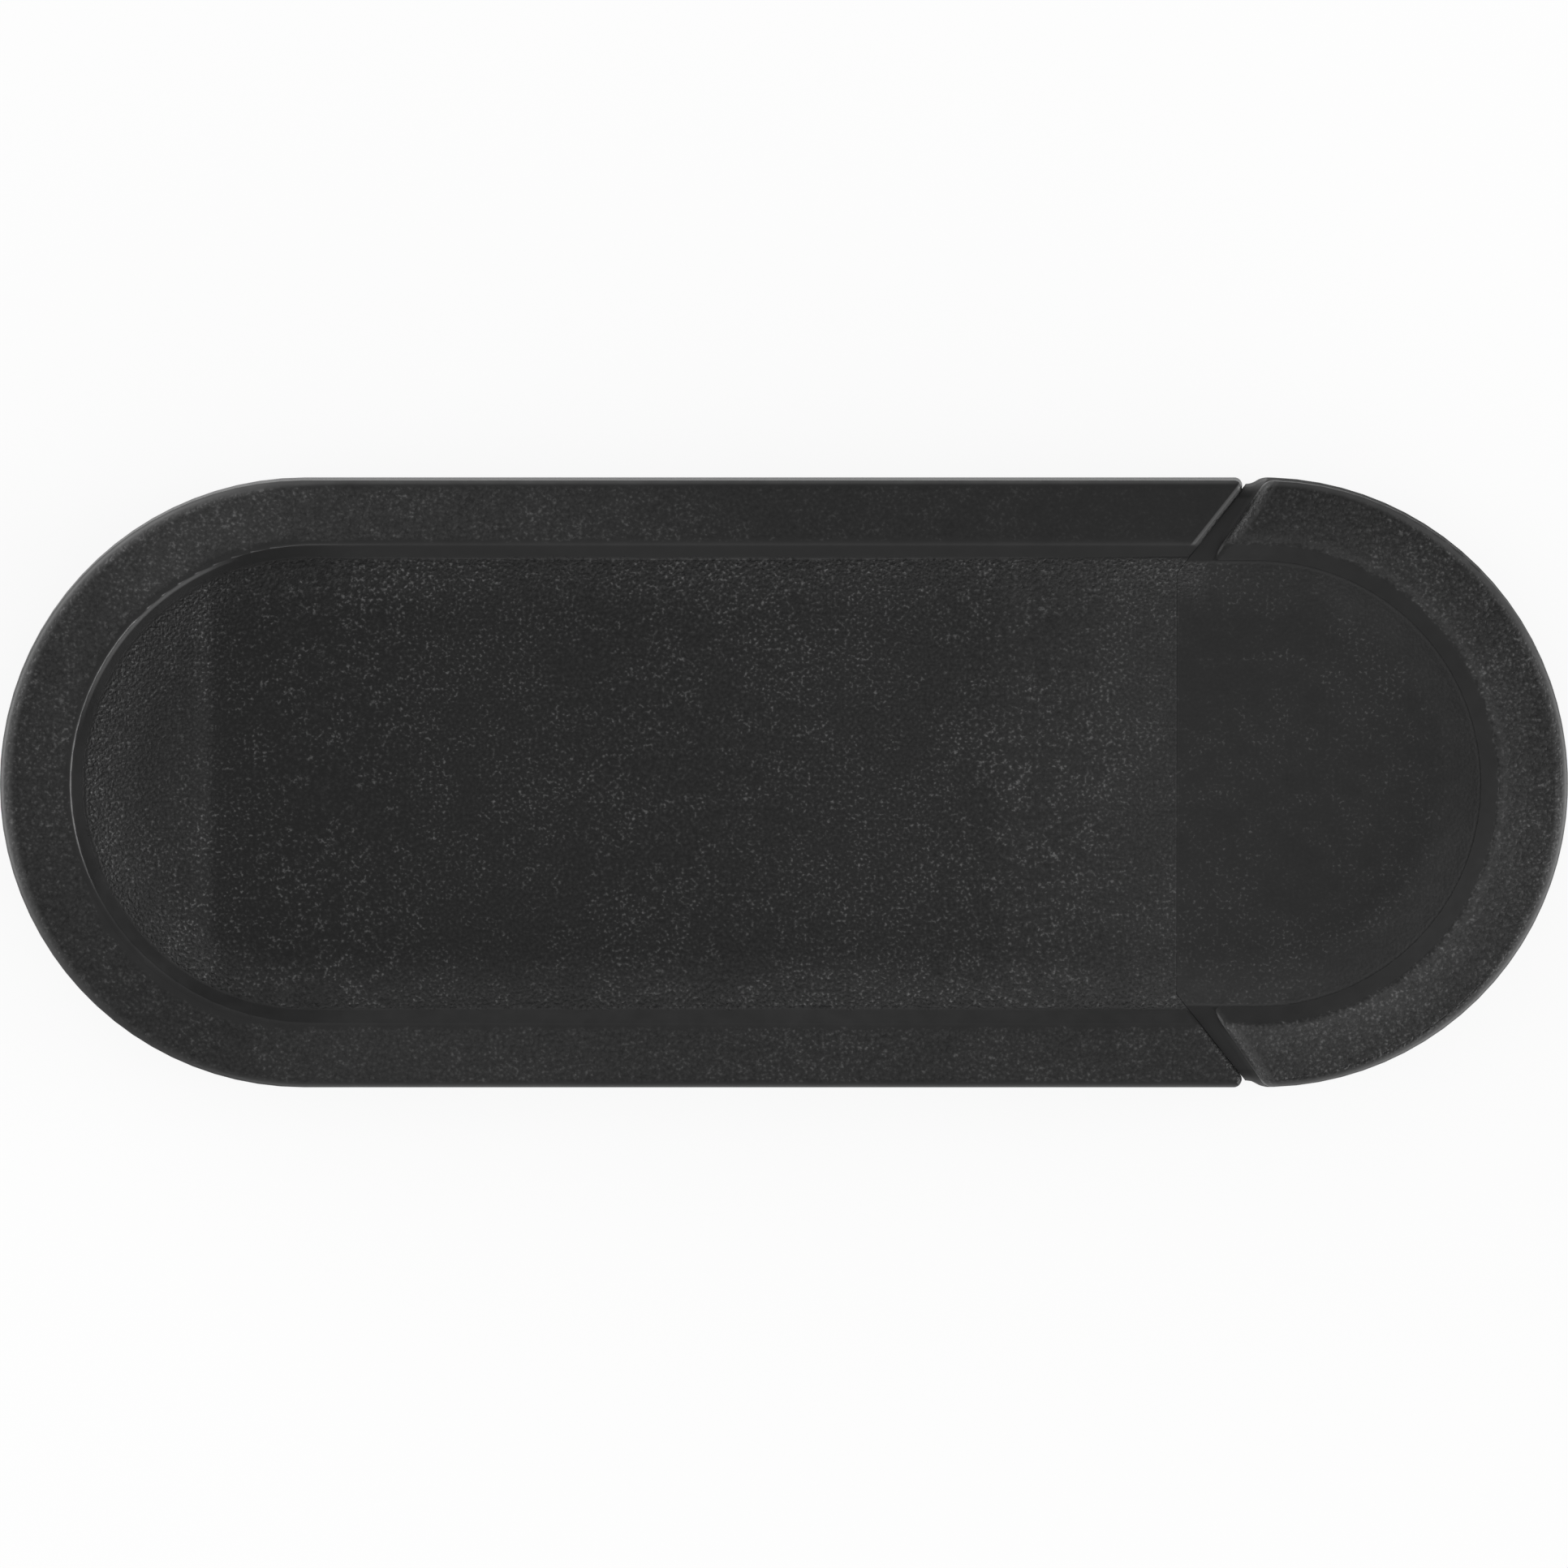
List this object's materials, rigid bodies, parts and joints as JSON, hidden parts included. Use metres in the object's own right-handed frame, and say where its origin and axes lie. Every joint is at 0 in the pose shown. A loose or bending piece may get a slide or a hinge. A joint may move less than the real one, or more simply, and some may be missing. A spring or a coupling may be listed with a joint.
{
  "type": "webcam cover slider",
  "caption": "Pill-shaped sliding camera cover: a shallow rimmed tray slides off a round window in a glued base with a D-shaped head.",
  "frame": {"origin": "middle of the pill's outline, on the face of the adhesive pads that is pressed onto the lid", "axes": "+X along the length towards the D-shaped head, +Y across, +Z out of the glued face towards the user"},
  "size_m": [0.036, 0.014, 0.002],
  "materials": {
    "black_plastic_base": "matt black moulded plastic with a fine spark-eroded grain",
    "black_plastic_cover": "matt black moulded plastic with a fine spark-eroded grain",
    "adhesive": "soft double-sided adhesive sheet, translucent white"
  },
  "bodies": {
    "base": {"base": "black_plastic_base", "head_adhesive_pad": "adhesive", "tongue_adhesive_pad": "adhesive"},
    "cover": {"sliding_cover": "black_plastic_cover"}
  },
  "joints": [
    {"name": "cover_slide", "type": "slide", "parent": "base", "child": "cover", "axis": [-1, 0, 0], "range_m": [0, 0.0082]}
  ]
}
